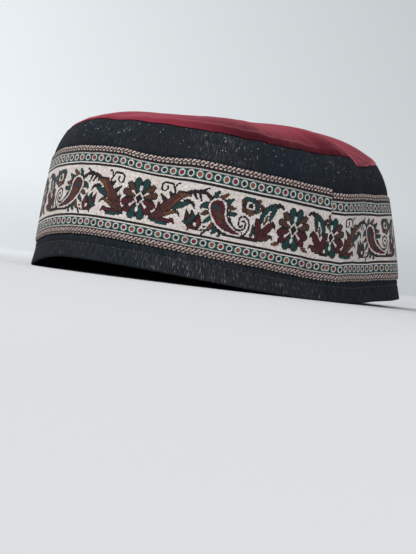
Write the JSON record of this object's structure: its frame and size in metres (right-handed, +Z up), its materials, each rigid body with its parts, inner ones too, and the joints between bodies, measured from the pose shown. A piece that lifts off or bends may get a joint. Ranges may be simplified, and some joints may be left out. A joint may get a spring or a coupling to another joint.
{
  "type": "cap",
  "caption": "Soft round cap with a domed cotton top, a tall side band, a wide patterned woven ribbon round it and a lining.",
  "frame": {"origin": "on the surface that the rim rests on, under the middle of the cap's box", "axes": "+Z up, the front of the cap towards -Y and the wearer's left towards +X"},
  "size_m": [0.1718, 0.2063, 0.0912],
  "materials": {
    "crimson_cotton": "matt plain weave",
    "black_slub_cotton": "matt slubbed weave",
    "woven_ribbon": "jacquard weave",
    "black_lining": "smooth plain weave"
  },
  "bodies": {
    "root": {"crown_tip": "crimson_cotton", "side_band": "black_slub_cotton", "ribbon": "woven_ribbon", "lining": "black_lining"}
  },
  "joints": []
}
